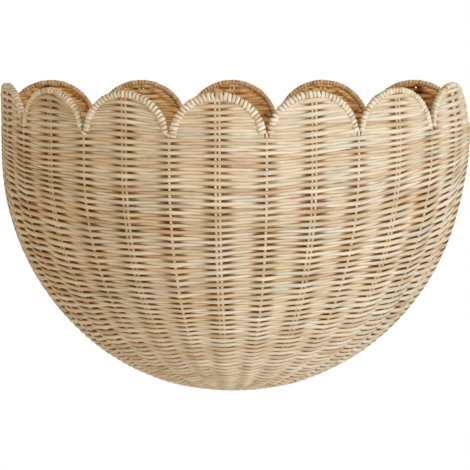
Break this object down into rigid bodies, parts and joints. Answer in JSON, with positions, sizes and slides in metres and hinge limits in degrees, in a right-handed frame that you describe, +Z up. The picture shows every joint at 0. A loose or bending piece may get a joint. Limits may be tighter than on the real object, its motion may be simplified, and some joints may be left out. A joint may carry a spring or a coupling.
{
  "type": "wall basket",
  "caption": "Half-bowl wicker wall basket with a flat back, a bowed front, a bound scalloped rim and hanging holes.",
  "frame": {"origin": "midway between the two hanging holes, on the plane of the wall", "axes": "+X to the right as seen from in front, +Y out of the flat back towards the wall, +Z up"},
  "size_m": [0.34, 0.15, 0.2295],
  "materials": {
    "weave": "woven natural rattan",
    "stake": "bare rattan rod",
    "corner_rod": "bare rattan rod",
    "rim": "wound rattan strand"
  },
  "bodies": {
    "root": {"back_weave": "weave", "base_weave": "weave", "corner_frame_rod": "corner_rod", "front_scallop_1_weave": "weave", "front_scallop_1_stake_left": "stake", "front_scallop_1_stake_right": "stake", "front_scallop_1_rim": "rim", "front_scallop_2_weave": "weave", "front_scallop_2_stake_left": "stake", "front_scallop_2_stake_right": "stake", "front_scallop_2_rim": "rim", "front_scallop_3_weave": "weave", "front_scallop_3_stake_left": "stake", "front_scallop_3_stake_right": "stake", "front_scallop_3_rim": "rim", "front_scallop_4_weave": "weave", "front_scallop_4_stake_left": "stake", "front_scallop_4_stake_right": "stake", "front_scallop_4_rim": "rim", "front_scallop_5_weave": "weave", "front_scallop_5_stake_left": "stake", "front_scallop_5_stake_right": "stake", "front_scallop_5_rim": "rim", "front_scallop_6_weave": "weave", "front_scallop_6_stake_left": "stake", "front_scallop_6_stake_right": "stake", "front_scallop_6_rim": "rim", "front_scallop_7_weave": "weave", "front_scallop_7_stake_left": "stake", "front_scallop_7_stake_right": "stake", "front_scallop_7_rim": "rim", "front_valley_1_stake": "stake", "front_valley_2_stake": "stake", "front_valley_3_stake": "stake", "front_valley_4_stake": "stake", "front_valley_5_stake": "stake", "front_valley_6_stake": "stake", "back_scallop_1_stake_left": "stake", "back_scallop_1_stake_right": "stake", "back_scallop_1_rim": "rim", "back_scallop_2_stake_left": "stake", "back_scallop_2_stake_right": "stake", "back_scallop_2_rim": "rim", "back_scallop_3_stake_left": "stake", "back_scallop_3_stake_right": "stake", "back_scallop_3_rim": "rim", "back_scallop_4_stake_left": "stake", "back_scallop_4_stake_right": "stake", "back_scallop_4_rim": "rim", "back_scallop_5_stake_left": "stake", "back_scallop_5_stake_right": "stake", "back_scallop_5_rim": "rim", "back_valley_1_stake": "stake", "back_valley_2_stake": "stake", "back_valley_3_stake": "stake", "back_valley_4_stake": "stake"}
  },
  "joints": []
}
